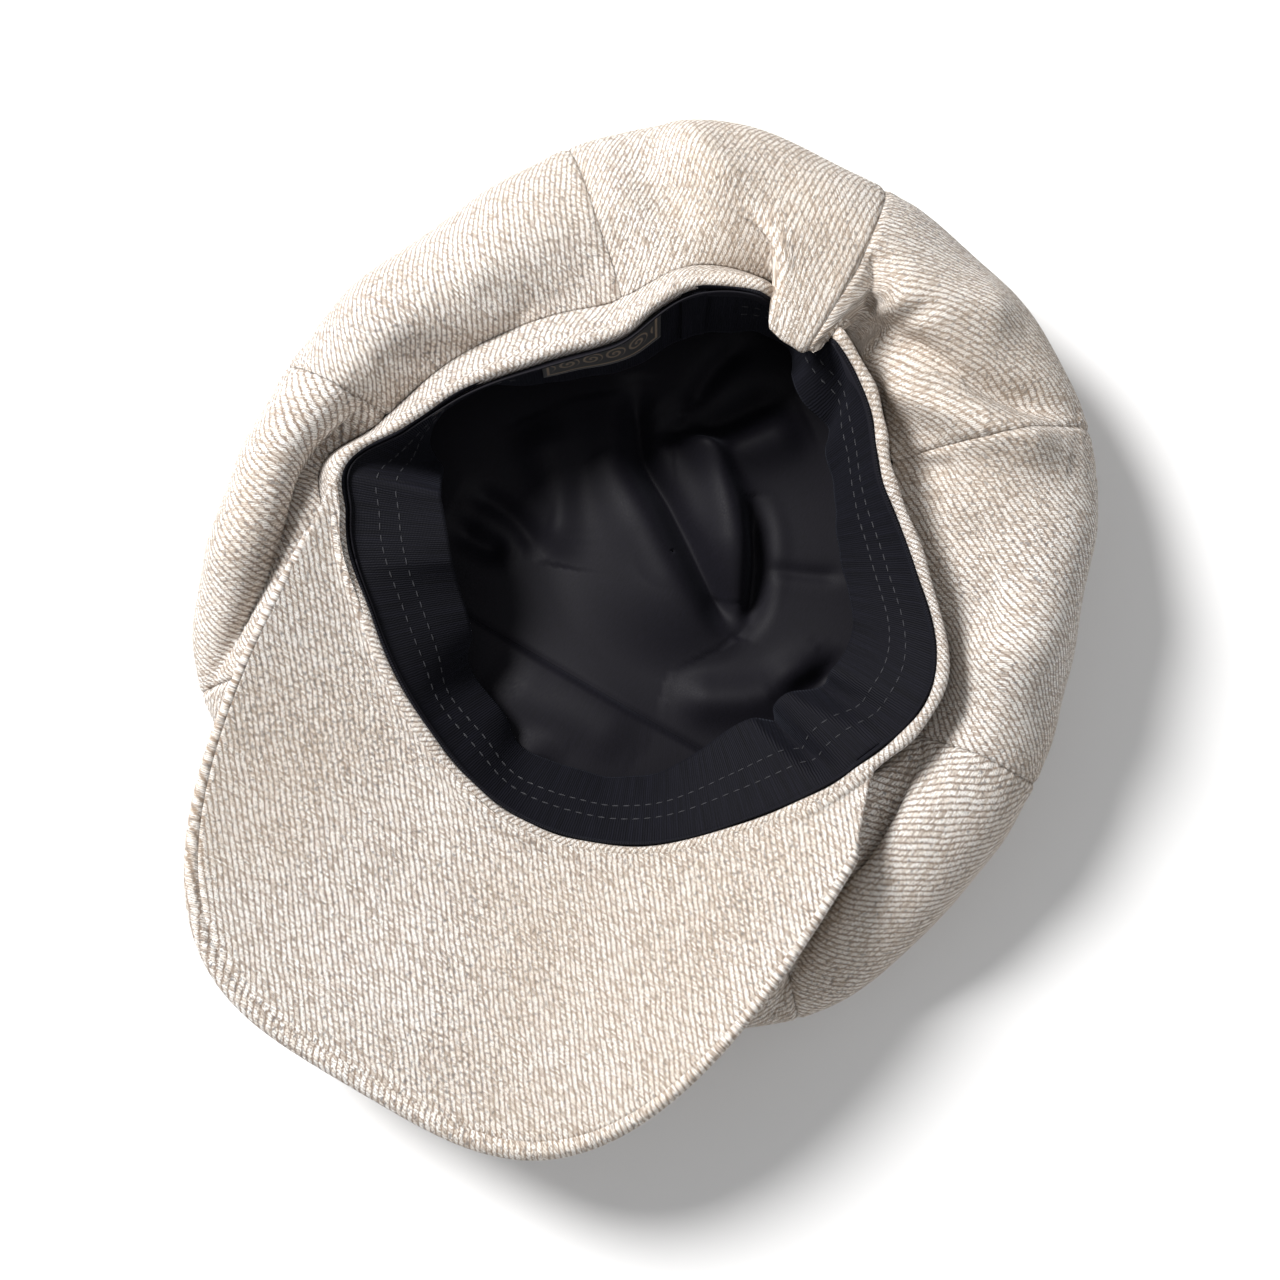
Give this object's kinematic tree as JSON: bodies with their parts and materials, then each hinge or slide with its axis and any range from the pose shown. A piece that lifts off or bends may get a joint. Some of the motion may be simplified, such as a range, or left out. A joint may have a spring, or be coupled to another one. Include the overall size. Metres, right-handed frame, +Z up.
{
  "type": "newsboy cap",
  "caption": "Soft eight-panel cap lying upside down, with a puffed crown, a headband, a sweatband, a dark lining and a stiffened peak that flexes.",
  "frame": {"origin": "centre of the bounding box at table level, under the crown that the cap lies on", "axes": "+Z up out of the head opening, -Y ahead through the peak, +X to the right seen from above with the peak towards the viewer"},
  "size_m": [0.262, 0.3132, 0.074],
  "materials": {
    "outer_twill": "flecked wool twill",
    "ribbon": "ribbed ribbon",
    "lining": "satin",
    "interlining": "stiffened cotton",
    "label": "woven",
    "care_label": "woven",
    "dark_thread": "spun thread",
    "light_thread": "spun thread",
    "board": "satin sheet",
    "button_metal": "satin",
    "washer_metal": "satin"
  },
  "bodies": {
    "cap": {"crown_panel_1": "outer_twill", "crown_panel_2": "outer_twill", "crown_panel_3": "outer_twill", "crown_panel_4": "outer_twill", "crown_panel_5": "outer_twill", "crown_panel_6": "outer_twill", "crown_panel_7": "outer_twill", "crown_panel_8": "outer_twill", "headband": "outer_twill", "band_interlining": "interlining", "sweatband": "ribbon", "sweatband_thread": "dark_thread", "lining_tip": "lining", "lining_sides": "lining", "lining_front": "lining", "woven_label": "label", "care_tab": "care_label", "button_cover": "outer_twill", "button_shell": "button_metal", "button_back": "button_metal", "button_washer": "washer_metal"},
    "peak": {"peak_top": "outer_twill", "peak_stiffener": "board", "peak_under": "outer_twill", "peak_needle_thread": "light_thread", "peak_bobbin_thread": "light_thread", "tack_thread": "light_thread"}
  },
  "joints": [
    {"name": "peak_flex", "type": "hinge", "parent": "cap", "child": "peak", "pos_m": [-0.00112, -0.03059, 0.042], "axis": [1, 0, 0], "range_deg": [-8, 8], "stiffness_Nm_per_rad": 0.6, "springref_deg": -2.29}
  ]
}
